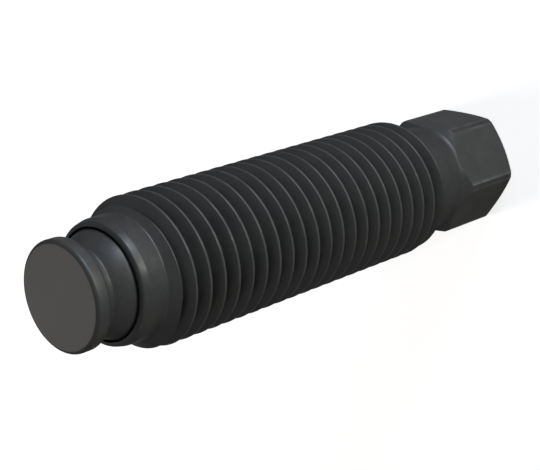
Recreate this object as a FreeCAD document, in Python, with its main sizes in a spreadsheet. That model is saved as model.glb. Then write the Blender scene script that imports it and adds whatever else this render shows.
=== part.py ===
"""Ball thrust screw: a hexagon-driven clamping screw with a swivelling pad held in its rolled nose.

All sizes are in millimetres. The screw stands on its hexagon: Z is the screw's axis, Z = 0 is the end face of
the hexagon and the pad's clamping face is at the top. Two corners of the hexagon point along X.
"""
import FreeCAD, Part
import math
import os
import Sketcher

# Driving dimensions, as (name, value in mm, meaning).
SIZES = [
    ("thread_diameter", 20.0, "major diameter of the thread"),
    ("thread_pitch", 2.5, "coarse pitch"),
    ("thread_length", 55.0, "from the neck to the pilot, with both end chamfers"),
    ("hexagon_length", 10.7, "from the end face to where the corners start to fall away to the neck"),
    ("across_flats", 16.0, "hexagon, for a standard wrench"),
    ("corner_diameter", 18.1, "the hexagon's corners, turned down"),
    ("end_face_diameter", 15.2, "flat end face inside the hexagon's end chamfer"),
    ("neck_diameter", 15.8, "plain neck between the hexagon and the thread"),
    ("neck_length", 6.5, "from the hexagon's full corners to the thread"),
    ("neck_fillet", 1.2, "radius where the neck meets the hexagon"),
    ("pilot_diameter", 16.5, "plain pilot in front of the thread"),
    ("pilot_length", 2.7, "length of the pilot's plain part"),
    ("pilot_fillet", 0.4, "radius where the pilot meets the thread's chamfer"),
    ("nose_diameter", 16.0, "small end of the rolled nose"),
    ("nose_length", 1.0, "length of the rolled nose's taper"),
    ("lip_height", 0.3, "height of the lip's bevel, from the nose to the socket's mouth"),
    ("ball_diameter", 15.0, "ball of the pad"),
    ("ball_clearance", 0.05, "gap between the ball and its socket, all round"),
    ("ball_depth", 2.6, "from the socket's mouth down to the ball's centre"),
    ("lip_overlap", 0.1, "how far the rolled lip stands in over the ball, which keeps the ball in"),
    ("pad_diameter", 14.4, "outer diameter of the pad's disc"),
    ("pad_thickness", 2.2, "thickness of the pad's disc"),
    ("pad_edge_radius", 0.55, "rounding of both edges of the disc"),
    ("pad_standoff", 4.0, "from the socket's mouth up to the back of the disc"),
    ("pad_neck_diameter", 11.2, "neck between the ball and the disc"),
    ("pad_neck_fillet", 0.4, "radius at both ends of the pad's neck"),
]

# Shares of the pitch that the thread's basic profile fixes.
CREST_SHARE = 0.125
DEPTH_SHARE = 0.6134
FLANK_ANGLE = "30 deg"
HEXAGON_CHAMFER_ANGLE = "30 deg"

# Stations along the axis, from the hexagon's end face upwards.
HEXAGON_TOP = "Sizes.hexagon_length"
CONE_TOP = f"({HEXAGON_TOP} + (Sizes.corner_diameter - Sizes.neck_diameter) / 2)"
THREAD_START = f"({HEXAGON_TOP} + Sizes.neck_length)"
THREAD_END = f"({THREAD_START} + Sizes.thread_length)"
NOSE_START = f"({THREAD_END} + Sizes.pilot_length)"
NOSE_END = f"({NOSE_START} + Sizes.nose_length)"
MOUTH = f"({NOSE_END} + Sizes.lip_height)"
BALL_CENTRE = f"({MOUTH} - Sizes.ball_depth)"
PAD_BACK = f"({MOUTH} + Sizes.pad_standoff)"
PAD_FACE = f"({PAD_BACK} + Sizes.pad_thickness)"

# Radii that follow from the diameters.
THREAD_RADIUS = "(Sizes.thread_diameter / 2)"
CORNER_RADIUS = "(Sizes.corner_diameter / 2)"
END_FACE_RADIUS = "(Sizes.end_face_diameter / 2)"
NECK_RADIUS = "(Sizes.neck_diameter / 2)"
PILOT_RADIUS = "(Sizes.pilot_diameter / 2)"
NOSE_RADIUS = "(Sizes.nose_diameter / 2)"
BALL_RADIUS = "(Sizes.ball_diameter / 2)"
SOCKET_RADIUS = f"({BALL_RADIUS} + Sizes.ball_clearance)"
MOUTH_RADIUS = f"({BALL_RADIUS} - Sizes.lip_overlap)"
PAD_RADIUS = "(Sizes.pad_diameter / 2)"
PAD_NECK_RADIUS = "(Sizes.pad_neck_diameter / 2)"
BALL_NECK_JOIN = f"({BALL_CENTRE} + sqrt({BALL_RADIUS} ^ 2 - {PAD_NECK_RADIUS} ^ 2))"

# The fillets at the foot of a 45 degree cone, which fit on the cone that they start from.
CONE_FIT = 3
NECK_FILLET = f"min(Sizes.neck_fillet; {CONE_FIT} * ({CORNER_RADIUS} - {NECK_RADIUS}))"
PILOT_FILLET = f"min(Sizes.pilot_fillet; {CONE_FIT} * ({THREAD_RADIUS} - {PILOT_RADIUS}))"

# The thread's groove: its depth, and its half widths at the root and at the crest.
THREAD_DEPTH = f"({DEPTH_SHARE} * Sizes.thread_pitch)"
GROOVE_CREST_HALF = f"((1 - {CREST_SHARE}) * Sizes.thread_pitch / 2)"
GROOVE_ROOT_HALF = f"({GROOVE_CREST_HALF} - {THREAD_DEPTH} * tan({FLANK_ANGLE}))"
GROOVE_CENTRE = f"({THREAD_START} - {GROOVE_CREST_HALF})"

# How far a cutting sketch reaches past the solid that it cuts.
OVERSHOOT = 0.2
# How close an edge lies to where its sizes put it.
EDGE_TOLERANCE = 0.01
# Sketch geometry: the ends and the centre of an edge, the origin and the two axes.
START, END, CENTRE = range(1, 4)
HORIZONTAL_AXIS, VERTICAL_AXIS = range(-1, -3, -1)
ORIGIN = HORIZONTAL_AXIS
# What stands for zero in an outline's corners.
ZERO = "0"

doc = FreeCAD.newDocument("BallThrustScrew")


def add_sizes():
    """Put the driving dimensions into the document's spreadsheet."""
    sheet = doc.addObject("Spreadsheet::Sheet", "Sizes")
    for row, (name, value, meaning) in enumerate(SIZES, start=1):
        sheet.set(f"A{row}", name)
        sheet.set(f"B{row}", str(value))
        sheet.set(f"C{row}", meaning)
        sheet.setAlias(f"B{row}", name)
    doc.recompute()


def value_of(expression):
    """Work out an expression over the spreadsheet, in millimetres."""
    result = doc.Sizes.evalExpression(expression.replace("Sizes.", ""))
    return float(getattr(result, "Value", result))


def add_body(label):
    """Start a sub-part as a body with its own label."""
    body = doc.addObject("PartDesign::Body", label)
    body.Label = label
    return body


def origin_feature(body, role):
    """Find one of the body's own planes or axes."""
    return next(item for item in body.Origin.OriginFeatures if item.Role == role)


def add_sketch(body, name, plane="XZ_Plane"):
    """Attach an empty sketch to one of the body's own planes."""
    sketch = body.newObject("Sketcher::SketchObject", name)
    sketch.AttachmentSupport = (origin_feature(body, plane), [""])
    sketch.MapMode = "FlatFace"
    return sketch


def drive(sketch, kind, *references, size):
    """Add a dimension to a sketch and bind it to an expression over the spreadsheet."""
    index = sketch.addConstraint(Sketcher.Constraint(kind, *references, value_of(size)))
    sketch.setExpression(f"Constraints[{index}]", size)


def draw_outline(sketch, corners):
    """Draw a closed outline of straight lines through corners given as (x, y) expressions."""
    points = [FreeCAD.Vector(value_of(x), value_of(y), 0) for x, y in corners]
    count = len(points)
    for index, point in enumerate(points):
        sketch.addGeometry(Part.LineSegment(point, points[(index + 1) % count]), False)
    for index in range(count):
        sketch.addConstraint(Sketcher.Constraint("Coincident", index, END, (index + 1) % count, START))
    for index, (x, y) in enumerate(corners):
        if x == ZERO:
            sketch.addConstraint(Sketcher.Constraint("PointOnObject", index, START, VERTICAL_AXIS))
        else:
            drive(sketch, "DistanceX", ORIGIN, START, index, START, size=x)
        if y == ZERO:
            sketch.addConstraint(Sketcher.Constraint("PointOnObject", index, START, HORIZONTAL_AXIS))
        else:
            drive(sketch, "DistanceY", ORIGIN, START, index, START, size=y)


def draw_half_disc(sketch, radius, height):
    """Draw the half disc that turns into a sphere about the vertical axis, centred at a height."""
    centre = FreeCAD.Vector(0, value_of(height), 0)
    reach = FreeCAD.Vector(0, value_of(radius), 0)
    circle = Part.Circle(centre, FreeCAD.Vector(0, 0, 1), value_of(radius))
    arc = sketch.addGeometry(Part.ArcOfCircle(circle, -math.pi / 2, math.pi / 2), False)
    chord = sketch.addGeometry(Part.LineSegment(centre + reach, centre - reach), False)
    for constraint in (
        Sketcher.Constraint("Coincident", arc, END, chord, START),
        Sketcher.Constraint("Coincident", chord, END, arc, START),
        Sketcher.Constraint("PointOnObject", arc, CENTRE, VERTICAL_AXIS),
        Sketcher.Constraint("PointOnObject", arc, START, VERTICAL_AXIS),
        Sketcher.Constraint("PointOnObject", arc, END, VERTICAL_AXIS),
    ):
        sketch.addConstraint(constraint)
    drive(sketch, "DistanceY", ORIGIN, START, arc, CENTRE, size=height)
    drive(sketch, "Radius", arc, size=radius)


def draw_hexagon(sketch, across_flats):
    """Draw a regular hexagon about the origin, with two corners on the horizontal axis."""
    sides = 6
    reach = value_of(across_flats) / 2 / math.cos(math.pi / sides)
    corners = [
        FreeCAD.Vector(reach * math.cos(2 * math.pi * k / sides), reach * math.sin(2 * math.pi * k / sides), 0)
        for k in range(sides)
    ]
    for k in range(sides):
        sketch.addGeometry(Part.LineSegment(corners[k], corners[(k + 1) % sides]), False)
    inside = Part.Circle(FreeCAD.Vector(), FreeCAD.Vector(0, 0, 1), value_of(across_flats) / 2)
    circle = sketch.addGeometry(inside, True)
    sketch.addConstraint(Sketcher.Constraint("Coincident", circle, CENTRE, ORIGIN, START))
    for k in range(sides):
        sketch.addConstraint(Sketcher.Constraint("Coincident", k, END, (k + 1) % sides, START))
        sketch.addConstraint(Sketcher.Constraint("Tangent", k, circle))
    for k in range(1, sides):
        sketch.addConstraint(Sketcher.Constraint("Equal", 0, k))
    sketch.addConstraint(Sketcher.Constraint("PointOnObject", 0, START, HORIZONTAL_AXIS))
    drive(sketch, "Diameter", circle, size=across_flats)


def draw_circle(sketch, radius):
    """Draw a circle about the origin."""
    edge = Part.Circle(FreeCAD.Vector(), FreeCAD.Vector(0, 0, 1), value_of(radius))
    circle = sketch.addGeometry(edge, False)
    sketch.addConstraint(Sketcher.Constraint("Coincident", circle, CENTRE, ORIGIN, START))
    drive(sketch, "Radius", circle, size=radius)


def turn(body, name, sketch, kind="PartDesign::Revolution"):
    """Turn a sketch a full circle about the body's Z axis, as material or as a cut."""
    feature = body.newObject(kind, name)
    feature.Profile = sketch
    feature.ReferenceAxis = (origin_feature(body, "Z_Axis"), [""])
    feature.Angle = 360
    doc.recompute()
    return feature


def round_edges(body, name, base, edges, radius):
    """Round the circular edges given as (radius, height) expressions."""
    wanted = [(value_of(edge_radius), value_of(height)) for edge_radius, height in edges]
    names = []
    for number, edge in enumerate(base.Shape.Edges, start=1):
        if edge.Degenerated or not isinstance(edge.Curve, Part.Circle):
            continue
        found = (edge.Curve.Radius, edge.Curve.Center.z)
        if any(math.dist(found, place) < EDGE_TOLERANCE for place in wanted):
            names.append(f"Edge{number}")
    fillet = body.newObject("PartDesign::Fillet", name)
    fillet.Base = (base, names)
    fillet.setExpression("Radius", radius)
    doc.recompute()
    return fillet


def check_cut(before, after):
    """Stop if a cut has taken nothing away."""
    if not after.Shape.Volume < before.Shape.Volume:
        raise RuntimeError(f"{after.Name} cuts nothing")


def build_screw():
    """Turn the screw, mill its hexagon, form its socket and cut its thread."""
    body = add_body("screw_body")
    outline = add_sketch(body, "screw_outline")
    draw_outline(outline, [
        (ZERO, ZERO),
        (END_FACE_RADIUS, ZERO),
        (CORNER_RADIUS, f"(({CORNER_RADIUS} - {END_FACE_RADIUS}) * tan({HEXAGON_CHAMFER_ANGLE}))"),
        (CORNER_RADIUS, HEXAGON_TOP),
        (NECK_RADIUS, CONE_TOP),
        (NECK_RADIUS, THREAD_START),
        (THREAD_RADIUS, f"({THREAD_START} + {THREAD_RADIUS} - {NECK_RADIUS})"),
        (THREAD_RADIUS, f"({THREAD_END} - {THREAD_RADIUS} + {PILOT_RADIUS})"),
        (PILOT_RADIUS, THREAD_END),
        (PILOT_RADIUS, NOSE_START),
        (NOSE_RADIUS, NOSE_END),
        (MOUTH_RADIUS, MOUTH),
        (MOUTH_RADIUS, BALL_CENTRE),
        (ZERO, BALL_CENTRE),
    ])
    blank = turn(body, "screw_blank", outline)

    neck = round_edges(body, "neck_rounding", blank, [(NECK_RADIUS, CONE_TOP)], NECK_FILLET)
    pilot = round_edges(body, "pilot_rounding", neck, [(PILOT_RADIUS, THREAD_END)], PILOT_FILLET)

    flats = add_sketch(body, "hexagon_outline", "XY_Plane")
    draw_hexagon(flats, "Sizes.across_flats")
    draw_circle(flats, f"({CORNER_RADIUS} + {OVERSHOOT})")
    hexagon = body.newObject("PartDesign::Pocket", "hexagon_flats")
    hexagon.Profile = flats
    hexagon.Reversed = True
    hexagon.setExpression("Length", CONE_TOP)
    doc.recompute()
    check_cut(pilot, hexagon)

    socket = add_sketch(body, "socket_outline")
    draw_half_disc(socket, SOCKET_RADIUS, BALL_CENTRE)
    seat = turn(body, "ball_socket", socket, "PartDesign::Groove")
    check_cut(hexagon, seat)

    groove = add_sketch(body, "groove_outline")
    root = f"({THREAD_RADIUS} - {THREAD_DEPTH})"
    mouth = f"({THREAD_RADIUS} + {OVERSHOOT})"
    mouth_half = f"({GROOVE_CREST_HALF} + {OVERSHOOT} * tan({FLANK_ANGLE}))"
    draw_outline(groove, [
        (root, f"({GROOVE_CENTRE} - {GROOVE_ROOT_HALF})"),
        (mouth, f"({GROOVE_CENTRE} - {mouth_half})"),
        (mouth, f"({GROOVE_CENTRE} + {mouth_half})"),
        (root, f"({GROOVE_CENTRE} + {GROOVE_ROOT_HALF})"),
    ])
    thread = body.newObject("PartDesign::SubtractiveHelix", "thread_groove")
    thread.Profile = groove
    thread.ReferenceAxis = (origin_feature(body, "Z_Axis"), [""])
    thread.Mode = "pitch-height-angle"
    thread.LeftHanded = False
    thread.Reversed = False
    thread.setExpression("Pitch", "Sizes.thread_pitch")
    thread.setExpression("Height", "Sizes.thread_length + Sizes.thread_pitch")
    doc.recompute()
    check_cut(seat, thread)
    return body


def build_pad():
    """Turn the pad: its disc, its neck and the ball that the screw's lip holds."""
    body = add_body("thrust_pad")
    outline = add_sketch(body, "pad_outline")
    draw_outline(outline, [
        (ZERO, BALL_CENTRE),
        (PAD_NECK_RADIUS, BALL_CENTRE),
        (PAD_NECK_RADIUS, PAD_BACK),
        (PAD_RADIUS, PAD_BACK),
        (PAD_RADIUS, PAD_FACE),
        (ZERO, PAD_FACE),
    ])
    turn(body, "disc_and_neck", outline)

    half_ball = add_sketch(body, "ball_outline")
    draw_half_disc(half_ball, BALL_RADIUS, BALL_CENTRE)
    ball = turn(body, "ball", half_ball)

    joins = [(PAD_NECK_RADIUS, BALL_NECK_JOIN), (PAD_NECK_RADIUS, PAD_BACK)]
    rounded = round_edges(body, "neck_roundings", ball, joins, "Sizes.pad_neck_fillet")
    rims = [(PAD_RADIUS, PAD_BACK), (PAD_RADIUS, PAD_FACE)]
    round_edges(body, "rim_roundings", rounded, rims, "Sizes.pad_edge_radius")
    return body


def check(bodies):
    """Stop if any object of the document failed or any sub-part isn't one valid solid."""
    for item in doc.Objects:
        if {"Invalid", "Error"} & set(item.State):
            raise RuntimeError(f"{item.Name} failed: {item.State}")
    for body in bodies:
        shape = body.Shape
        if shape.isNull() or not shape.isValid() or len(shape.Solids) != 1:
            raise RuntimeError(f"{body.Label} isn't one valid solid")


def main():
    """Build both pieces, check them and write one STEP file for each."""
    add_sizes()
    bodies = [build_screw(), build_pad()]
    doc.recompute()
    check(bodies)
    os.makedirs("parts", exist_ok=True)
    for body in bodies:
        body.Shape.exportStep(f"parts/{body.Label}.step")
        box = body.Shape.BoundBox
        print(f"{body.Label}: {body.Shape.Volume:.1f} mm3, Z {box.ZMin:.3f} to {box.ZMax:.3f}")


main()
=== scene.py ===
"""Looks of the ball thrust screw: its turned, milled and threaded steel, its black oxide and its studio.

The screw stands on its hexagon with the pad up, in metres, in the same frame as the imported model. The sizes
of its pieces are in millimetres, as a drawing gives them.
"""
from __future__ import annotations

import logging
import math
from collections.abc import Callable
from dataclasses import dataclass, field
from enum import Enum

import bmesh
import bpy
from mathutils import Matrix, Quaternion, Vector

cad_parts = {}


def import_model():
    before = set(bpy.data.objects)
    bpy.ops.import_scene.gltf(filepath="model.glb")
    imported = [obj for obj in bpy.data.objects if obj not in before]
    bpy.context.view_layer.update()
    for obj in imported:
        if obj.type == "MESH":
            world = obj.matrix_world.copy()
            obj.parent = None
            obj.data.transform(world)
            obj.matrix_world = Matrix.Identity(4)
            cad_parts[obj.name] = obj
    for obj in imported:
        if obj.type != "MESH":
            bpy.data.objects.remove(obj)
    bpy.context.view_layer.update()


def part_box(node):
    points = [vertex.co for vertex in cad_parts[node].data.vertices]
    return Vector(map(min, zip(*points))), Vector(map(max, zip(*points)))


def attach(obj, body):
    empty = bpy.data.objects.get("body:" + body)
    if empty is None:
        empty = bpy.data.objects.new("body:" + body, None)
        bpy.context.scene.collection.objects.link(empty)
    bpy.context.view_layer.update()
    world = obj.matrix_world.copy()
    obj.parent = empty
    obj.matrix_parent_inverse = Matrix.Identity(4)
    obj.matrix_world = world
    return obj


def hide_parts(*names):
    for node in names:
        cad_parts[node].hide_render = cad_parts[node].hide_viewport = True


LOG = logging.getLogger("ball_thrust_screw")

# A millimetre, the distance at which points are joined and the one at which they lie on a cut, in metres
MM = 0.001
JOIN_DISTANCE = MM * MM
CUT_DISTANCE = JOIN_DISTANCE / 10

# How far a point may lie from the corner that it is, in millimetres
CORNER_ERROR = 0.004

# How far a flat's face may lie from its depth, in millimetres, and how much its normal may rise
FLAT_ERROR = 0.002
FLAT_RISE = 0.001

# How much an edge has to turn to stay sharp, and how strongly large faces rule the shading
SHARP_DEGREES = 28.0
LARGE_FACE_WEIGHT = 80

Colour = tuple[float, float, float]
Source = bpy.types.NodeSocket | float | Colour
Inputs = dict[str | int, Source]
WHITE: Colour = (1.0, 1.0, 1.0)


class Node(str, Enum):
    """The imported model's nodes."""

    SCREW = "screw_body"
    PAD = "thrust_pad"


class Body(str, Enum):
    """The two bodies that the pad's joint connects."""

    SCREW = "screw"
    PAD = "pad"


class Slot(str, Enum):
    """The record's material slots."""

    SCREW = "screw_steel"
    PAD = "pad_steel"


class Kind(str, Enum):
    """What passes through a socket of a shader group."""

    NUMBER = "NodeSocketFloat"
    COLOUR = "NodeSocketColor"


def deselect_all() -> None:
    """Leave object mode with nothing selected."""
    if bpy.context.mode != "OBJECT":
        bpy.ops.object.mode_set(mode="OBJECT")
    bpy.ops.object.select_all(action="DESELECT")


def make_active(piece: bpy.types.Object) -> None:
    """Select one piece alone and make it the active one.

    Args:
        piece: the piece.
    """
    deselect_all()
    piece.select_set(True)
    bpy.context.view_layer.objects.active = piece


def select_faces(piece: bpy.types.Object, wanted: Callable[[bmesh.types.BMFace], bool]) -> None:
    """Select the faces of a piece in edit mode that pass a test, and nothing else.

    Args:
        piece: the piece, in edit mode.
        wanted: says whether a face is wanted.
    """
    bpy.ops.mesh.select_all(action="DESELECT")
    bpy.context.tool_settings.mesh_select_mode = (False, False, True)
    mesh = bmesh.from_edit_mesh(piece.data)
    for face in mesh.faces:
        if wanted(face):
            face.select = True
    mesh.select_flush_mode()
    bmesh.update_edit_mesh(piece.data)


def fillet_tangent(radius: float, turn_degrees: float) -> float:
    """Distance from a corner to where a fillet of a radius starts.

    Args:
        radius: of the fillet.
        turn_degrees: how far the outline turns at the corner.

    Returns:
        The distance, in the radius's own unit.
    """
    return radius * math.tan(math.radians(turn_degrees) / 2)


def shade_smoothly(piece: bpy.types.Object) -> None:
    """Shade a finished piece smoothly between its sharp edges, with its large faces ruling the normals.

    Args:
        piece: in object mode.
    """
    make_active(piece)
    bpy.ops.object.shade_smooth_by_angle(angle=math.radians(SHARP_DEGREES))
    weighting = piece.modifiers.new("even_normals", "WEIGHTED_NORMAL")
    weighting.keep_sharp = True
    weighting.weight = LARGE_FACE_WEIGHT
    bpy.ops.object.modifier_apply(modifier=weighting.name)


def finish_with(piece: bpy.types.Object, *finishes: bpy.types.Material) -> None:
    """Give a piece its finishes and no others.

    Args:
        piece: the piece.
        *finishes: its materials, which the faces' material numbers count from 0.
    """
    piece.data.materials.clear()
    for material in finishes:
        piece.data.materials.append(material)


@dataclass(frozen=True)
class Station:
    """A corner of a turned outline, in millimetres.

    Attributes:
        radius: its distance from the axis.
        height: its height above the hexagon's end face.
    """

    radius: float
    height: float


@dataclass(frozen=True)
class Rounding:
    """A fillet or an eased edge at one corner of an outline.

    Attributes:
        corner: the sharp corner that is rounded.
        tangent: from the corner to where the rounding starts, in millimetres.
        segments: straight pieces that the rounding is drawn with.
    """

    corner: Station
    tangent: float
    segments: int


class TurnedOutline:
    """Half of a turned piece's section, drawn corner by corner in edit mode and then spun about Z."""

    def __init__(self, name: str, start: Station) -> None:
        """Start the outline at one corner.

        Args:
            name: of the piece.
            start: the first corner.
        """
        deselect_all()
        bpy.ops.mesh.primitive_circle_add(vertices=3, radius=MM)
        self.piece = bpy.context.object
        self.piece.name = name
        self.piece.data.name = name
        self.end = start
        bpy.ops.object.mode_set(mode="EDIT")
        bpy.context.tool_settings.mesh_select_mode = (True, False, False)
        bpy.ops.mesh.select_all(action="SELECT")
        bpy.ops.mesh.merge(type="CENTER")
        bpy.ops.transform.translate(value=(start.radius * MM, 0, start.height * MM))

    def line_to(self, *corners: Station) -> None:
        """Draw straight on through more corners.

        Args:
            *corners: the corners, in order.
        """
        for corner in corners:
            step = ((corner.radius - self.end.radius) * MM, 0, (corner.height - self.end.height) * MM)
            bpy.ops.mesh.extrude_vertices_move(TRANSFORM_OT_translate={"value": step})
            self.end = corner

    def arc_to(self, end: Station, centre_height: float, steps: int) -> None:
        """Draw an arc about a point on the axis.

        Args:
            end: where the arc ends.
            centre_height: height of the arc's centre.
            steps: straight pieces that the arc is drawn with.
        """
        start_angle = math.atan2(self.end.height - centre_height, self.end.radius)
        end_angle = math.atan2(end.height - centre_height, end.radius)
        bpy.ops.mesh.spin(
            steps=steps, angle=end_angle - start_angle, center=(0, 0, centre_height * MM), axis=(0, 1, 0)
        )
        self.end = end

    def close(self) -> None:
        """Join the last corner to the first."""
        bpy.ops.mesh.select_all(action="SELECT")
        bpy.ops.mesh.edge_face_add()

    def round_corners(self, *roundings: Rounding) -> None:
        """Round corners of the outline.

        Args:
            *roundings: which corners, and how.
        """
        for rounding in roundings:
            bpy.ops.mesh.select_all(action="DESELECT")
            mesh = bmesh.from_edit_mesh(self.piece.data)
            corner = Vector((rounding.corner.radius, 0, rounding.corner.height)) * MM
            for vertex in mesh.verts:
                vertex.select = (vertex.co - corner).length < CORNER_ERROR * MM
            mesh.select_flush_mode()
            bmesh.update_edit_mesh(self.piece.data)
            bpy.ops.mesh.bevel(
                offset=rounding.tangent * MM, offset_type="OFFSET",
                segments=rounding.segments, affect="VERTICES",
            )

    def spin(self, steps: int) -> bpy.types.Object:
        """Spin the outline a full turn about the axis.

        Args:
            steps: faces round the piece.

        Returns:
            The piece, in object mode.
        """
        bpy.ops.mesh.select_all(action="SELECT")
        bpy.ops.mesh.spin(steps=steps, angle=math.tau, center=(0, 0, 0), axis=(0, 0, 1))
        bpy.ops.mesh.select_all(action="SELECT")
        bpy.ops.mesh.remove_doubles(threshold=JOIN_DISTANCE)
        bpy.ops.mesh.normals_make_consistent(inside=False)
        bpy.ops.object.mode_set(mode="OBJECT")
        return self.piece


@dataclass
class JointSizes:
    """Where the ball sits in the nose, for both pieces, in millimetres.

    Attributes:
        mouth_height: height of the socket's mouth.
        ball_depth: depth of the ball's centre below the mouth.
        ball_radius: of the ball.
        clearance: gap between the ball and its socket.
        lip_overlap: how far the rolled lip stands in over the ball.
    """

    mouth_height: float = 76.2
    ball_depth: float = 2.6
    ball_radius: float = 7.5
    clearance: float = 0.05
    lip_overlap: float = 0.1

    @property
    def centre_height(self) -> float:
        """Height of the ball's centre."""
        return self.mouth_height - self.ball_depth

    @property
    def socket_radius(self) -> float:
        """Radius of the socket."""
        return self.ball_radius + self.clearance

    @property
    def mouth_radius(self) -> float:
        """Radius of the socket's mouth, which the lip brings in over the ball."""
        return self.ball_radius - self.lip_overlap

    @property
    def wall_foot(self) -> float:
        """Height at which the lip's straight wall meets the round socket."""
        return self.centre_height + math.sqrt(self.socket_radius ** 2 - self.mouth_radius ** 2)


@dataclass
class ThreadedScrew:
    """The screw: turned to its outline, milled to a hexagon and threaded.

    Lengths and radii are in millimetres, and heights are from the hexagon's end face.

    Attributes:
        joint: where the ball sits in the nose.
        end_face_radius: of the hexagon's end face, inside its chamfer.
        end_chamfer_degrees: slope of that chamfer against the end face.
        corner_radius: of the hexagon's turned corners.
        half_across_flats: from the axis to a flat.
        flats: how many flats there are.
        hexagon_top: height at which the corners end and the cone to the neck starts.
        mill_reach: how far above that the milling still takes in faces.
        neck_radius: of the plain neck.
        neck_fillet: radius where the cone meets the neck.
        cone_turn_degrees: how far the outline turns where a cone meets the neck or the pilot.
        thread_start: height at which the thread's first chamfer starts.
        thread_end: height at which its last chamfer ends.
        thread_radius: of the thread's crests.
        pitch: from one turn of the thread to the next.
        depth_share: depth of the thread for a pitch of one.
        width_share: width of its groove at the crests for a pitch of one.
        flank_degrees: slope of its flanks.
        overcut: how far outside the crests the groove's eased edges end, off the crests' own faces.
        groove_overhang: how far the groove's solid stands out over the crests.
        groove_reach: half of the width to which it spreads there.
        pilot_radius: of the plain pilot.
        pilot_fillet: radius where the thread's last chamfer meets the pilot.
        nose_start: height at which the pilot starts to narrow to the nose.
        nose_radius: of the nose where its rolled lip starts.
        nose_end: height at which the rolled lip starts.
        wide_easing: length taken from each side of the turned edges that are eased most.
        slight_easing: the same at the turned edges that are eased less.
        lip_easing: the same at the lip.
        flat_easing: the same round the flats.
        crest_easing: the same at the thread's crests.
        root_easing: the same at its roots.
        round_faces: faces round the piece.
        socket_steps: straight pieces in the socket's outline.
    """

    joint: JointSizes
    end_face_radius: float = 7.6
    end_chamfer_degrees: float = 30.0
    corner_radius: float = 9.05
    half_across_flats: float = 8.0
    flats: int = 6
    hexagon_top: float = 10.7
    mill_reach: float = 2.3
    neck_radius: float = 7.9
    neck_fillet: float = 1.2
    cone_turn_degrees: float = 45.0
    thread_start: float = 17.2
    thread_end: float = 72.2
    thread_radius: float = 10.0
    pitch: float = 2.5
    depth_share: float = 0.6134
    width_share: float = 0.875
    flank_degrees: float = 30.0
    overcut: float = 0.0015
    groove_overhang: float = 0.25
    groove_reach: float = 1.2
    pilot_radius: float = 8.25
    pilot_fillet: float = 0.4
    nose_start: float = 74.9
    nose_radius: float = 8.0
    nose_end: float = 75.9
    wide_easing: float = 0.12
    slight_easing: float = 0.08
    lip_easing: float = 0.05
    flat_easing: float = 0.06
    crest_easing: float = 0.085
    root_easing: float = 0.08
    round_faces: int = 120
    socket_steps: int = 36

    @property
    def cone_top(self) -> float:
        """Height at which the hexagon's upper cone meets the neck."""
        return self.hexagon_top + self.corner_radius - self.neck_radius

    def build(self, turned: bpy.types.Material, milled: bpy.types.Material) -> bpy.types.Object:
        """Make the screw.

        Args:
            turned: finish of everything that is turned.
            milled: finish of the flats.

        Returns:
            The finished piece.
        """
        piece = self._turn_blank()
        self._mill_flats(piece)
        self._cut_thread(piece, self._sweep_groove())
        # A flat's faces take the second finish
        finish_with(piece, turned, milled)
        for face in piece.data.polygons:
            face.material_index = int(self._is_flat(face.center / MM, face.normal))
        shade_smoothly(piece)
        return piece

    def _turn_blank(self) -> bpy.types.Object:
        """Turn the blank, with its ball socket.

        Returns:
            The blank.
        """
        chamfer_slope = math.tan(math.radians(self.end_chamfer_degrees))
        chamfer_height = (self.corner_radius - self.end_face_radius) * chamfer_slope
        thread_full = self.thread_start + self.thread_radius - self.neck_radius
        thread_fade = self.thread_end - self.thread_radius + self.pilot_radius
        end_edge = Station(self.end_face_radius, 0)
        chamfer_edge = Station(self.corner_radius, chamfer_height)
        cone_edge = Station(self.corner_radius, self.hexagon_top)
        neck_top = Station(self.neck_radius, self.cone_top)
        neck_foot = Station(self.neck_radius, self.thread_start)
        thread_edge = Station(self.thread_radius, thread_full)
        far_thread_edge = Station(self.thread_radius, thread_fade)
        pilot_foot = Station(self.pilot_radius, self.thread_end)
        pilot_edge = Station(self.pilot_radius, self.nose_start)
        nose_edge = Station(self.nose_radius, self.nose_end)
        lip = Station(self.joint.mouth_radius, self.joint.mouth_height)
        wall_foot = Station(self.joint.mouth_radius, self.joint.wall_foot)
        socket_floor = Station(0, self.joint.centre_height - self.joint.socket_radius)
        outline = TurnedOutline("threaded_screw", Station(0, 0))
        outline.line_to(end_edge, chamfer_edge, cone_edge, neck_top)
        outline.line_to(neck_foot, thread_edge, far_thread_edge, pilot_foot)
        outline.line_to(pilot_edge, nose_edge, lip, wall_foot)
        outline.arc_to(socket_floor, self.joint.centre_height, self.socket_steps)
        eased_widely = (end_edge, cone_edge, thread_edge, far_thread_edge, nose_edge)
        eased_slightly = (chamfer_edge, neck_foot, pilot_edge)
        outline.round_corners(
            Rounding(neck_top, fillet_tangent(self.neck_fillet, self.cone_turn_degrees), segments=7),
            Rounding(pilot_foot, fillet_tangent(self.pilot_fillet, self.cone_turn_degrees), segments=5),
            *(Rounding(edge, self.wide_easing, segments=3) for edge in eased_widely),
            *(Rounding(edge, self.slight_easing, segments=2) for edge in eased_slightly),
            Rounding(lip, self.lip_easing, segments=2),
        )
        return outline.spin(self.round_faces)

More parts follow.
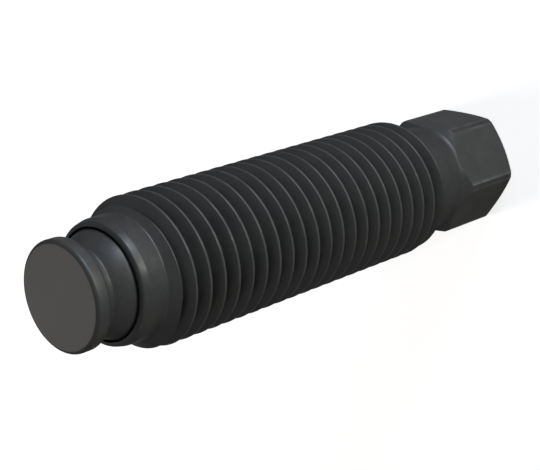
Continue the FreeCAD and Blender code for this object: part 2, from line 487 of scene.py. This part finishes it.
    def _mill_flats(self, piece: bpy.types.Object) -> None:
        """Mill the flats and ease their edges.

        Args:
            piece: the blank.
        """
        make_active(piece)
        bpy.ops.object.mode_set(mode="EDIT")
        highest = (self.hexagon_top + self.mill_reach) * MM
        flat_degrees = 360 / self.flats
        for flat in range(self.flats):
            turn = math.radians(flat_degrees * (flat + 0.5))
            outward = Vector((math.cos(turn), math.sin(turn), 0))
            select_faces(piece, lambda face: max(vertex.co.z for vertex in face.verts) < highest)
            bpy.ops.mesh.bisect(
                plane_co=outward * self.half_across_flats * MM, plane_no=outward,
                use_fill=True, clear_outer=True, threshold=CUT_DISTANCE,
            )
        select_faces(piece, lambda face: self._is_flat(face.calc_center_median() / MM, face.normal))
        bpy.ops.mesh.region_to_loop()
        bpy.ops.mesh.bevel(
            offset=self.flat_easing * MM, offset_type="OFFSET",
            segments=2, affect="EDGES", clamp_overlap=True,
        )
        bpy.ops.object.mode_set(mode="OBJECT")

    def _is_flat(self, centre: Vector, normal: Vector) -> bool:
        """Say whether a face is one of the flats.

        Args:
            centre: of the face, in millimetres.
            normal: of the face.

        Returns:
            Whether it is.
        """
        below_neck = centre.z < self.cone_top
        off_depth = abs(centre.xy.dot(normal.xy) - self.half_across_flats)
        return below_neck and off_depth < FLAT_ERROR and abs(normal.z) < FLAT_RISE

    def _sweep_groove(self) -> bpy.types.Object:
        """Sweep the thread's groove: a root with eased corners, two flanks and eased crest edges.

        Returns:
            The groove as a solid, for the cut.
        """
        slope = math.tan(math.radians(self.flank_degrees))
        depth = self.depth_share * self.pitch
        root_radius = self.thread_radius - depth
        crest_half = self.width_share * self.pitch / 2
        root_half = crest_half - depth * slope
        middle = self.thread_start - crest_half
        over_crest = self.thread_radius + self.overcut
        over_half = crest_half + self.overcut * slope
        outside = self.thread_radius + self.groove_overhang
        lower_root = Station(root_radius, middle - root_half)
        upper_root = Station(root_radius, middle + root_half)
        lower_crest = Station(over_crest, middle - over_half)
        upper_crest = Station(over_crest, middle + over_half)
        outline = TurnedOutline("thread_groove", lower_root)
        outline.line_to(
            lower_crest,
            Station(over_crest, middle - self.groove_reach),
            Station(outside, middle - self.groove_reach),
            Station(outside, middle + self.groove_reach),
            Station(over_crest, middle + self.groove_reach),
            upper_crest,
            upper_root,
        )
        outline.close()
        outline.round_corners(
            *(Rounding(root, self.root_easing, segments=2) for root in (lower_root, upper_root)),
            *(Rounding(crest, self.crest_easing, segments=3) for crest in (lower_crest, upper_crest)),
        )
        bpy.ops.mesh.select_all(action="SELECT")
        bpy.ops.mesh.delete(type="ONLY_FACE")
        groove = outline.piece
        make_active(groove)
        helix = groove.modifiers.new("helix", "SCREW")
        helix.axis = "Z"
        helix.angle = math.tau
        helix.screw_offset = self.pitch * MM
        helix.iterations = round((self.thread_end - self.thread_start) / self.pitch) + 1
        helix.steps = helix.render_steps = self.round_faces
        helix.use_smooth_shade = False
        bpy.ops.object.modifier_apply(modifier=helix.name)
        bpy.ops.object.mode_set(mode="EDIT")
        bpy.ops.mesh.select_all(action="SELECT")
        bpy.ops.mesh.fill_holes(sides=0)
        bpy.ops.mesh.normals_make_consistent(inside=False)
        bpy.ops.object.mode_set(mode="OBJECT")
        return groove

    @staticmethod
    def _cut_thread(piece: bpy.types.Object, groove: bpy.types.Object) -> None:
        """Cut the groove from the blank, then join points a hair apart and split many-sided faces.

        Args:
            piece: the milled blank.
            groove: the solid that is cut from it and then dropped.
        """
        make_active(piece)
        cut = piece.modifiers.new("thread", "BOOLEAN")
        cut.operation = "DIFFERENCE"
        cut.solver = "MANIFOLD"
        cut.object = groove
        bpy.ops.object.modifier_apply(modifier=cut.name)
        bpy.data.objects.remove(groove)
        bpy.ops.object.mode_set(mode="EDIT")
        bpy.ops.mesh.select_all(action="SELECT")
        bpy.ops.mesh.dissolve_degenerate(threshold=JOIN_DISTANCE)
        bpy.ops.mesh.select_mode(type="FACE")
        bpy.ops.mesh.select_face_by_sides(number=4, type="GREATER", extend=False)
        bpy.ops.mesh.quads_convert_to_tris(quad_method="BEAUTY", ngon_method="BEAUTY")
        bpy.ops.object.mode_set(mode="OBJECT")


@dataclass
class ThrustPad:
    """The pad: its disc, its neck and the ball that the screw's lip holds, in millimetres.

    Attributes:
        joint: where the ball sits in the nose.
        neck_radius: of the neck between the ball and the disc.
        neck_turn_degrees: how far the outline turns where the ball meets the neck.
        neck_fillet: radius at both ends of the neck.
        disc_radius: of the disc.
        standoff: from the socket's mouth to the disc.
        thickness: of the disc.
        rim_radius: of the disc's rounded edges.
        round_faces: faces round the piece.
        ball_steps: straight pieces in the ball's outline.
    """

    joint: JointSizes
    neck_radius: float = 5.6
    neck_turn_degrees: float = 44.0
    neck_fillet: float = 0.4
    disc_radius: float = 7.2
    standoff: float = 4.0
    thickness: float = 2.2
    rim_radius: float = 0.55
    round_faces: int = 120
    ball_steps: int = 46

    def build(self, turned: bpy.types.Material) -> bpy.types.Object:
        """Make the pad.

        Args:
            turned: finish of the whole pad.

        Returns:
            The finished piece.
        """
        ball = self.joint.ball_radius
        join_height = self.joint.centre_height + math.sqrt(ball ** 2 - self.neck_radius ** 2)
        back_height = self.joint.mouth_height + self.standoff
        face_height = back_height + self.thickness
        join = Station(self.neck_radius, join_height)
        neck_end = Station(self.neck_radius, back_height)
        back_rim = Station(self.disc_radius, back_height)
        face_rim = Station(self.disc_radius, face_height)
        outline = TurnedOutline("swivel_pad", Station(0, self.joint.centre_height - ball))
        outline.arc_to(join, self.joint.centre_height, self.ball_steps)
        outline.line_to(neck_end, back_rim, face_rim, Station(0, face_height))
        outline.round_corners(
            Rounding(join, fillet_tangent(self.neck_fillet, self.neck_turn_degrees), segments=4),
            Rounding(neck_end, self.neck_fillet, segments=5),
            *(Rounding(rim, self.rim_radius, segments=8) for rim in (back_rim, face_rim)),
        )
        piece = outline.spin(self.round_faces)
        finish_with(piece, turned)
        shade_smoothly(piece)
        return piece


@dataclass(frozen=True)
class Place:
    """Where a point of a piece lies, as its nodes read it.

    Attributes:
        point: its Object coordinates.
        radius: its distance from the axis.
        height: its height.
    """

    point: bpy.types.NodeSocket
    radius: bpy.types.NodeSocket
    height: bpy.types.NodeSocket


class Nodes:
    """The nodes of a material, a surround or a group, and the ways to add to them."""

    def __init__(self, tree: bpy.types.NodeTree) -> None:
        """Take a node tree to add to."""
        self.tree = tree

    def connect(self, socket: bpy.types.NodeSocket, value: Source) -> None:
        """Link a source to an input, or set the input's own value.

        Args:
            socket: the input.
            value: a source, a number or a colour.
        """
        if isinstance(value, bpy.types.NodeSocket):
            self.tree.links.new(value, socket)
        elif socket.type == "RGBA":
            socket.default_value = (*value, 1)
        else:
            socket.default_value = value

    def feed(self, node: bpy.types.Node, inputs: Inputs) -> None:
        """Connect several inputs of a node.

        Args:
            node: the node.
            inputs: values or sources for its inputs, by name or number.
        """
        for key, value in inputs.items():
            self.connect(node.inputs[key], value)

    def add(self, kind: str, inputs: Inputs | None = None, **settings: object) -> bpy.types.Node:
        """Add a node.

        Args:
            kind: the node's type.
            inputs: values or sources for its inputs, by name or number.
            **settings: properties of the node.

        Returns:
            The node.
        """
        node = self.tree.nodes.new(kind)
        for name, value in settings.items():
            setattr(node, name, value)
        self.feed(node, inputs or {})
        return node

    def compute(
        self, operation: str, first: Source, second: Source, clamp: bool = False
    ) -> bpy.types.NodeSocket:
        """Add a Math node.

        Args:
            operation: the node's own name for what it does.
            first: its first number.
            second: its second number.
            clamp: whether the result is kept between 0 and 1.

        Returns:
            The result.
        """
        node = self.add("ShaderNodeMath", {0: first, 1: second}, operation=operation, use_clamp=clamp)
        return node.outputs["Value"]

    def mix_colours(self, share: Source, first: Source, second: Source) -> bpy.types.NodeSocket:
        """Add a Mix node for colours.

        Its sockets share their names with those of its other modes, so they are found by their identifiers.

        Args:
            share: how much of the second colour is taken.
            first: the first colour.
            second: the second colour.

        Returns:
            The mixed colour.
        """
        node = self.add("ShaderNodeMix", data_type="RGBA")
        sockets = {socket.identifier: socket for socket in (*node.inputs, *node.outputs)}
        self.connect(sockets["Factor_Float"], share)
        self.connect(sockets["A_Color"], first)
        self.connect(sockets["B_Color"], second)
        return sockets["Result_Color"]

    def place(self) -> Place:
        """Add the nodes that say where a point lies about the piece's axis.

        Returns:
            Where it lies.
        """
        point = self.add("ShaderNodeTexCoord").outputs["Object"]
        parts = self.add("ShaderNodeSeparateXYZ", {"Vector": point}).outputs
        across = self.add("ShaderNodeCombineXYZ", {"X": parts["X"], "Y": parts["Y"]}).outputs["Vector"]
        radius = self.add("ShaderNodeVectorMath", {0: across}, operation="LENGTH").outputs["Value"]
        return Place(point, radius, parts["Z"])


class ShaderGroup(Nodes):
    """A shader node group with named inputs and outputs, built once and placed in each material."""

    def __init__(self, name: str) -> None:
        """Start an empty group.

        Args:
            name: of the group.
        """
        super().__init__(bpy.data.node_groups.new(name, "ShaderNodeTree"))
        self.given = self.tree.nodes.new("NodeGroupInput")
        self.result = self.tree.nodes.new("NodeGroupOutput")

    def take(self, name: str, value: float | Colour, kind: Kind = Kind.NUMBER) -> bpy.types.NodeSocket:
        """Add a named input.

        Args:
            name: of the input.
            value: its default.
            kind: what passes through it.

        Returns:
            The input as the group's nodes read it.
        """
        socket = self.tree.interface.new_socket(name=name, in_out="INPUT", socket_type=kind.value)
        socket.default_value = (*value, 1) if kind is Kind.COLOUR else value
        return self.given.outputs[name]

    def give(self, name: str, source: bpy.types.NodeSocket, kind: Kind = Kind.NUMBER) -> None:
        """Add a named output and feed it.

        Args:
            name: of the output.
            source: what feeds it.
            kind: what passes through it.
        """
        self.tree.interface.new_socket(name=name, in_out="OUTPUT", socket_type=kind.value)
        self.feed(self.result, {name: source})


class OxideEffects:
    """The effects that the finishes share, each one a node group that is built once."""

    def __init__(self) -> None:
        """Build the groups."""
        self.tone = self._build_tone()
        self.marks = self._build_marks()
        # The lighter outermost edges are partly wear and partly a painted highlight.
        self.rub_and_highlight = self._build_rub_and_highlight()

    @staticmethod
    def _build_tone() -> bpy.types.NodeTree:
        """Build the cloudy tone that the oxide bath leaves.

        Returns:
            The group. It takes two colours and gives their mixture and the mask that mixes them.
        """
        group = ShaderGroup("oxide_tone")
        dark = group.take("Dark", (0.018, 0.018, 0.019), Kind.COLOUR)
        light = group.take("Light", (0.026, 0.026, 0.026), Kind.COLOUR)
        cloud_scale = group.take("Cloud Scale", 260.0)
        grain_scale = group.take("Grain Scale", 2600.0)
        grain_share = group.take("Grain Share", 0.4)
        point = group.add("ShaderNodeTexCoord").outputs["Object"]
        cloud = group.add("ShaderNodeTexNoise", {
            "Vector": point, "Scale": cloud_scale, "Detail": 4.0, "Roughness": 0.6,
        })
        grain = group.add("ShaderNodeTexNoise", {
            "Vector": point, "Scale": grain_scale, "Detail": 2.0, "Roughness": 0.7,
        })
        blend = group.add("ShaderNodeMix", {
            "Factor": grain_share, "A": cloud.outputs["Fac"], "B": grain.outputs["Fac"],
        })
        mask = group.add("ShaderNodeMapRange", {
            "Value": blend.outputs["Result"], "From Min": 0.38, "From Max": 0.62,
        }).outputs["Result"]
        group.give("Color", group.mix_colours(mask, dark, light), Kind.COLOUR)
        group.give("Mask", mask)
        return group.tree

    @staticmethod
    def _build_marks() -> bpy.types.NodeTree:
        """Build the fine rings that a turning tool leaves round the axis.

        Returns:
            The group. It takes the tool's feed and gives the height of the marks.
        """
        group = ShaderGroup("turning_marks")
        feed = group.take("Feed", 0.00012)
        place = group.place()
        section = group.add("ShaderNodeCombineXYZ", {"X": place.radius, "Y": place.height})
        rings = group.add("ShaderNodeTexNoise", {
            "Vector": section.outputs["Vector"], "Scale": group.compute("DIVIDE", 1.0, feed),
            "Detail": 2.0, "Roughness": 0.5,
        }, noise_dimensions="2D")
        group.give("Height", rings.outputs["Fac"])
        return group.tree

    @staticmethod
    def _build_rub_and_highlight() -> bpy.types.NodeTree:
        """Build the mask of what stands out furthest from the axis, worn bare by nuts and wrenches and
        painted lighter as a painted highlight.

        Returns:
            The group. It takes the radii at which the wear and painted highlight start and are full and the
            height above which they are found, and gives the mask.
        """
        group = ShaderGroup("edge_rub_and_highlight")
        start = group.take("Start Radius", 0.00985)
        full = group.take("Full Radius", 0.00998)
        lowest = group.take("Lowest Height", 0.0)
        breakup_scale = group.take("Breakup Scale", 420.0)
        place = group.place()
        reach = group.add("ShaderNodeMapRange", {
            "Value": place.radius, "From Min": start, "From Max": full,
        })
        noise = group.add("ShaderNodeTexNoise", {
            "Vector": place.point, "Scale": breakup_scale, "Detail": 3.0,
        })
        patch = group.add("ShaderNodeMapRange", {
            "Value": noise.outputs["Fac"], "From Min": 0.3, "From Max": 0.6,
        })
        broken = group.compute("MULTIPLY", reach.outputs["Result"], patch.outputs["Result"], clamp=True)
        above = group.compute("GREATER_THAN", place.height, lowest)
        group.give("Mask", group.compute("MULTIPLY", broken, above))
        return group.tree


@dataclass(frozen=True)
class BlackOxide:
    """A black oxide finish.

    Attributes:
        name: of the material.
        dark: the oxide's darker colour.
        light: the oxide's lighter colour.
        rubbed_and_highlight: colour of the worn edges, lighter also as a painted highlight.
        roughness: of the oxide.
        sheen_spread: how far the roughness varies with the tone.
        metallic: share of the surface that shines as the steel under the oxide does.
        grazing_shine: how much of that shine is left where the surface is seen edge on.
        feed: spacing of the tool marks, in metres.
        mark_depth: height of the tool marks, in metres.
        rub_and_highlight_start: radius from the axis at which the wear and the painted highlight start, in
            metres.
        rub_and_highlight_full: radius from the axis at which they are full, in metres.
        rub_and_highlight_lowest: height above which they are found, in metres.
        grain_depth: height of the oxide's grain, in metres.
    """

    name: str
    dark: Colour = (0.0355, 0.0355, 0.0362)
    light: Colour = (0.0435, 0.0434, 0.043)
    rubbed_and_highlight: Colour = (0.1, 0.098, 0.095)
    roughness: float = 0.42
    sheen_spread: float = 0.08
    metallic: float = 0.5
    grazing_shine: float = 0.4
    feed: float = 0.00012
    mark_depth: float = 0.0000012
    rub_and_highlight_start: float = 0.00985
    rub_and_highlight_full: float = 0.00998
    rub_and_highlight_lowest: float = 0.0
    grain_depth: float = 0.000001

    def material(self, effects: OxideEffects) -> bpy.types.Material:
        """Make the material.

        Args:
            effects: the shared node groups.

        Returns:
            The material.
        """
        material = bpy.data.materials.new(self.name)
        material.use_nodes = True
        nodes = Nodes(material.node_tree)
        tone = nodes.add("ShaderNodeGroup", {
            "Dark": self.dark, "Light": self.light,
        }, node_tree=effects.tone)
        marks = nodes.add("ShaderNodeGroup", {"Feed": self.feed}, node_tree=effects.marks)
        rub_and_highlight = nodes.add("ShaderNodeGroup", {
            "Start Radius": self.rub_and_highlight_start, "Full Radius": self.rub_and_highlight_full, "Lowest Height": self.rub_and_highlight_lowest,
        }, node_tree=effects.rub_and_highlight)
        gloss = nodes.add("ShaderNodeMapRange", {
            "Value": tone.outputs["Mask"],
            "To Min": self.roughness - self.sheen_spread, "To Max": self.roughness + self.sheen_spread,
        })
        grain = nodes.add("ShaderNodeBump", {
            "Height": tone.outputs["Mask"], "Distance": self.grain_depth, "Strength": 1.0,
        })
        lathe = nodes.add("ShaderNodeBump", {
            "Height": marks.outputs["Height"], "Distance": self.mark_depth, "Strength": 1.0,
            "Normal": grain.outputs["Normal"],
        })
        # The outermost crests, corners and rim take the lighter colour: worn steel and a painted highlight.
        nodes.feed(material.node_tree.nodes["Principled BSDF"], {
            "Base Color": nodes.mix_colours(rub_and_highlight.outputs["Mask"], tone.outputs["Color"], self.rubbed_and_highlight),
            "Roughness": gloss.outputs["Result"],
            "Metallic": self.metallic,
            "Specular IOR Level": 0.0,
            "Specular Tint": (self.grazing_shine, self.grazing_shine, self.grazing_shine),
            "Normal": lathe.outputs["Normal"],
        })
        return material


# The turned, milled and pad finishes are lighter at their outermost crests, hexagon corners and rim: worn
# steel and a painted highlight.
TURNED_OXIDE = BlackOxide("turned_oxide", rubbed_and_highlight=(0.052, 0.051, 0.05))
MILLED_OXIDE = BlackOxide(
    "milled_oxide", dark=(0.046, 0.046, 0.0455), light=(0.054, 0.0535, 0.0525), mark_depth=0.0,
    grazing_shine=0.36, rub_and_highlight_start=0.0088, rub_and_highlight_full=0.00903,
)
PAD_OXIDE = BlackOxide(
    "pad_oxide", sheen_spread=0.025, rub_and_highlight_start=0.00715, rub_and_highlight_full=0.0075, rub_and_highlight_lowest=0.0775,
)


def direction(azimuth: float, elevation: float) -> Vector:
    """Direction from the object towards a lamp or camera.

    Args:
        azimuth: in degrees; 0 is the -Y side and 90 the +X side.
        elevation: in degrees above the floor.

    Returns:
        The unit direction.
    """
    turn, rise = math.radians(azimuth), math.radians(elevation)
    return Vector((math.sin(turn) * math.cos(rise), -math.cos(turn) * math.cos(rise), math.sin(rise)))


@dataclass(frozen=True)
class StudioCamera:
    """The photograph's camera, placed by the point near the screw's axis that it looks at.

    Attributes:
        aim_below_pad: depth of the aim point below the pad's face, in metres.
        aim_aside: the aim point's offset from the axis along X, in metres.
        distance: from the camera to the aim point, in metres.
        azimuth: turn about Z, in degrees; 0 looks along +Y.
        elevation: height of the camera above the horizon, in degrees.
        roll: turn about the line of sight, in degrees.
        lens_mm: focal length for a sensor as wide as sensor_mm.
        sensor_mm: sensor width.
        nearest: distance at which the view starts, in metres.
        furthest: distance at which it ends, in metres.
    """

    aim_below_pad: float = 0.03644
    aim_aside: float = -0.00093
    distance: float = 0.20288
    azimuth: float = -3.477
    elevation: float = 43.666
    roll: float = -108.677
    lens_mm: float = 98.741
    sensor_mm: float = 36.0
    nearest: float = 0.01
    furthest: float = 20.0

    def build(self, pad_height: float) -> None:
        """Add the camera and make it the scene's own.

        Args:
            pad_height: height of the pad's face above the floor.
        """
        back = direction(self.azimuth, self.elevation)
        aim = Vector((self.aim_aside, 0.0, pad_height - self.aim_below_pad))
        roll = Quaternion((0, 0, 1), math.radians(self.roll))
        deselect_all()
        bpy.ops.object.camera_add(location=aim + back * self.distance)
        camera = bpy.context.object
        camera.name = "photo_camera"
        camera.rotation_mode = "QUATERNION"
        camera.rotation_quaternion = back.to_track_quat("Z", "Y") @ roll
        camera.data.lens = self.lens_mm
        camera.data.sensor_width = self.sensor_mm
        camera.data.clip_start = self.nearest
        camera.data.clip_end = self.furthest
        bpy.context.scene.camera = camera


@dataclass(frozen=True)
class Softbox:
    """A soft studio lamp that looks at the screw's middle.

    Attributes:
        name: of the lamp.
        azimuth: in degrees; 0 is the -Y side and 90 the +X side.
        elevation: in degrees above the floor.
        watts: power.
        tint: colour.
        width: across, in metres.
        height: from its lower edge to its upper one, in metres.
        distance: from the screw's middle, in metres.
    """

    name: str
    azimuth: float
    elevation: float
    watts: float
    tint: Colour
    width: float = 0.16
    height: float = 0.16
    distance: float = 0.5

    def build(self, middle: Vector) -> None:
        """Add the lamp.

        Args:
            middle: of the screw, which the lamp looks at.
        """
        towards = direction(self.azimuth, self.elevation)
        deselect_all()
        bpy.ops.object.light_add(type="AREA", location=middle + towards * self.distance)
        lamp = bpy.context.object
        lamp.name = self.name
        lamp.rotation_mode = "QUATERNION"
        lamp.rotation_quaternion = towards.to_track_quat("Z", "Y")
        lamp.data.shape = "ELLIPSE"
        lamp.data.size = self.width
        lamp.data.size_y = self.height
        lamp.data.energy = self.watts
        lamp.data.color = self.tint


def photo_lamps() -> list[Softbox]:
    """The lamps that light the screw as in the photograph.

    Returns:
        The softboxes.
    """
    return [
        Softbox(
            "low_lamp", azimuth=39, elevation=-2, watts=1.45, tint=(0.82, 0.9, 1.0),
            width=0.24, height=0.05,
        ),
        Softbox(
            "key_lamp", azimuth=40, elevation=4, watts=0.95, tint=(0.72, 0.82, 1.0),
            width=0.12, height=0.12,
        ),
        Softbox("side_lamp", azimuth=60, elevation=12, watts=0.16, tint=(0.3, 0.5, 1.0)),
        Softbox(
            "front_lamp", azimuth=4, elevation=-5, watts=0.38, tint=(0.97, 1.0, 0.85),
            width=0.04, height=0.04, distance=0.25,
        ),
        Softbox("back_lamp", azimuth=176, elevation=38, watts=0.75, tint=(1.0, 0.95, 0.89)),
    ]


@dataclass
class Studio:
    """The plain pale floor, the white surround and the softboxes.

    Attributes:
        middle_height: height that the lamps look at, in metres.
        floor_width: in metres.
        floor_colour: its lit colour.
        floor_glow: what the camera and reflections see of it near the screw, besides its lit colour.
        far_glow: the same away from the screw, where the lamps no longer light it.
        glow_start: distance from the screw's axis at which the glow starts to rise, in metres.
        glow_end: distance at which it is full, in metres.
        fill: strength of the surround's light on everything that isn't a mirror.
        lamps: the softboxes.
    """

    middle_height: float = 0.045
    floor_width: float = 6.0
    floor_colour: Colour = (0.8, 0.8, 0.8)
    floor_glow: float = 0.78
    far_glow: float = 1.0
    glow_start: float = 0.08
    glow_end: float = 0.4
    fill: float = 0.04
    lamps: list[Softbox] = field(default_factory=photo_lamps)

    def build(self) -> None:
        """Add the floor, the surround and the lamps."""
        self._build_floor()
        self._build_surround()
        for lamp in self.lamps:
            lamp.build(Vector((0, 0, self.middle_height)))

    @staticmethod
    def _seen_directly(nodes: Nodes) -> bpy.types.NodeSocket:
        """Mask of the rays that show the background: camera, mirror and glass rays.

        Args:
            nodes: the material's or the surround's own.

        Returns:
            The mask.
        """
        rays = nodes.add("ShaderNodeLightPath").outputs
        mirrored = nodes.compute("ADD", rays["Is Camera Ray"], rays["Is Glossy Ray"], clamp=True)
        return nodes.compute("ADD", mirrored, rays["Is Transmission Ray"], clamp=True)

    def _build_floor(self) -> None:
        """Add the floor, which glows to the camera and keeps its shadow."""
        deselect_all()
        bpy.ops.mesh.primitive_plane_add(size=self.floor_width)
        floor = bpy.context.object
        floor.name = "floor"
        material = bpy.data.materials.new("floor_white")
        material.use_nodes = True
        nodes = Nodes(material.node_tree)
        rise = nodes.add("ShaderNodeMapRange", {
            "Value": nodes.place().radius, "From Min": self.glow_start, "From Max": self.glow_end,
            "To Min": self.floor_glow, "To Max": self.far_glow,
        }, interpolation_type="SMOOTHSTEP")
        seen = self._seen_directly(nodes)
        nodes.feed(material.node_tree.nodes["Principled BSDF"], {
            "Base Color": self.floor_colour,
            "Roughness": 1.0,
            "Specular IOR Level": 0.0,
            "Emission Color": WHITE,
            "Emission Strength": nodes.compute("MULTIPLY", seen, rise.outputs["Result"]),
        })
        finish_with(floor, material)

    def _build_surround(self) -> None:
        """Add the surround: white where it is seen, a soft fill elsewhere."""
        world = bpy.data.worlds.new("studio_surround")
        world.use_nodes = True
        nodes = Nodes(world.node_tree)
        level = nodes.add("ShaderNodeMapRange", {
            "Value": self._seen_directly(nodes), "To Min": self.fill, "To Max": 1.0,
        })
        nodes.feed(world.node_tree.nodes["Background"], {
            "Color": WHITE, "Strength": level.outputs["Result"],
        })
        bpy.context.scene.world = world


def main() -> None:
    """Build the pieces and the studio in order."""
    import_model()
    StudioCamera().build(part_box(Node.PAD.value)[1].z)
    effects = OxideEffects()
    turned = TURNED_OXIDE.material(effects)
    milled = MILLED_OXIDE.material(effects)
    faced = PAD_OXIDE.material(effects)
    joint = JointSizes()
    screw = ThreadedScrew(joint).build(turned, milled)
    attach(screw, Body.SCREW.value)
    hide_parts(Node.SCREW.value)
    LOG.info("%s: %d faces", screw.name, len(screw.data.polygons))
    pad = ThrustPad(joint).build(faced)
    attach(pad, Body.PAD.value)
    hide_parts(Node.PAD.value)
    LOG.info("%s: %d faces", pad.name, len(pad.data.polygons))
    Studio().build()
    bpy.context.scene.view_settings.view_transform = "Standard"


if __name__ == "__main__":
    logging.basicConfig(level=logging.INFO)
    main()
